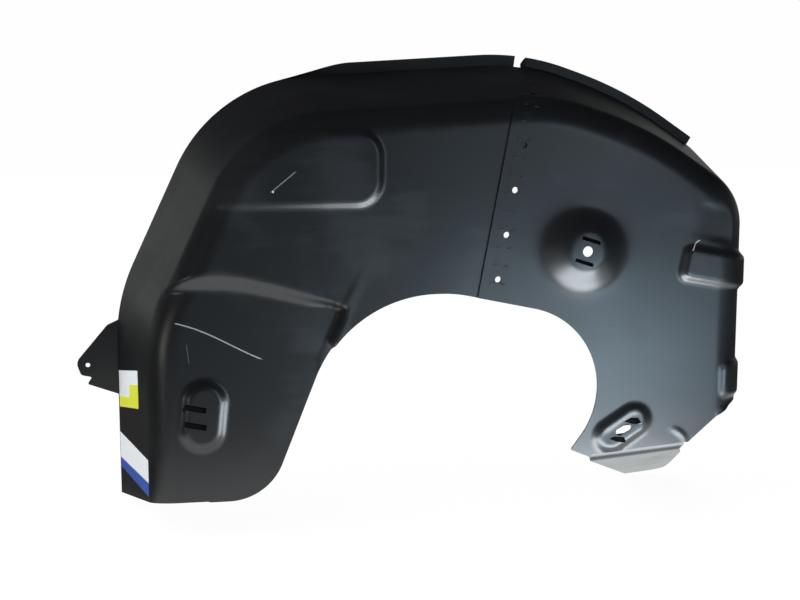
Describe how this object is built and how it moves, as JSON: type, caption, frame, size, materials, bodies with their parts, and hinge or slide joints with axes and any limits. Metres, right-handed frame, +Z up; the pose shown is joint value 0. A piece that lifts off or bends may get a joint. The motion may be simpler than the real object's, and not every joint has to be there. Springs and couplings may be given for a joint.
{
  "type": "wheel arch liner",
  "caption": "Formed black plastic wheel arch liner in two lapped and stapled halves, with a strut cut-out, fixing dish, raised pads, wing-edge lips and a fixing ear.",
  "frame": {"origin": "middle of the fixing hole in the dish, on the face towards the car body", "axes": "+Z up as fitted, +X along the car towards the rear of this liner, -Y towards the car body, +Y towards the wing"},
  "size_m": [0.8663, 0.2208, 0.5785],
  "materials": {
    "front_sheet": "black, half gloss, scuffed",
    "rear_sheet": "black, half gloss, scuffed",
    "staple_wire": "dull steel wire",
    "upper_paper": "white with a plain yellow field",
    "lower_paper": "white with a plain blue field"
  },
  "bodies": {
    "root": {"front_half": "front_sheet", "rear_half": "rear_sheet", "seam_staples": "staple_wire", "upper_label": "upper_paper", "lower_label": "lower_paper"}
  },
  "joints": []
}
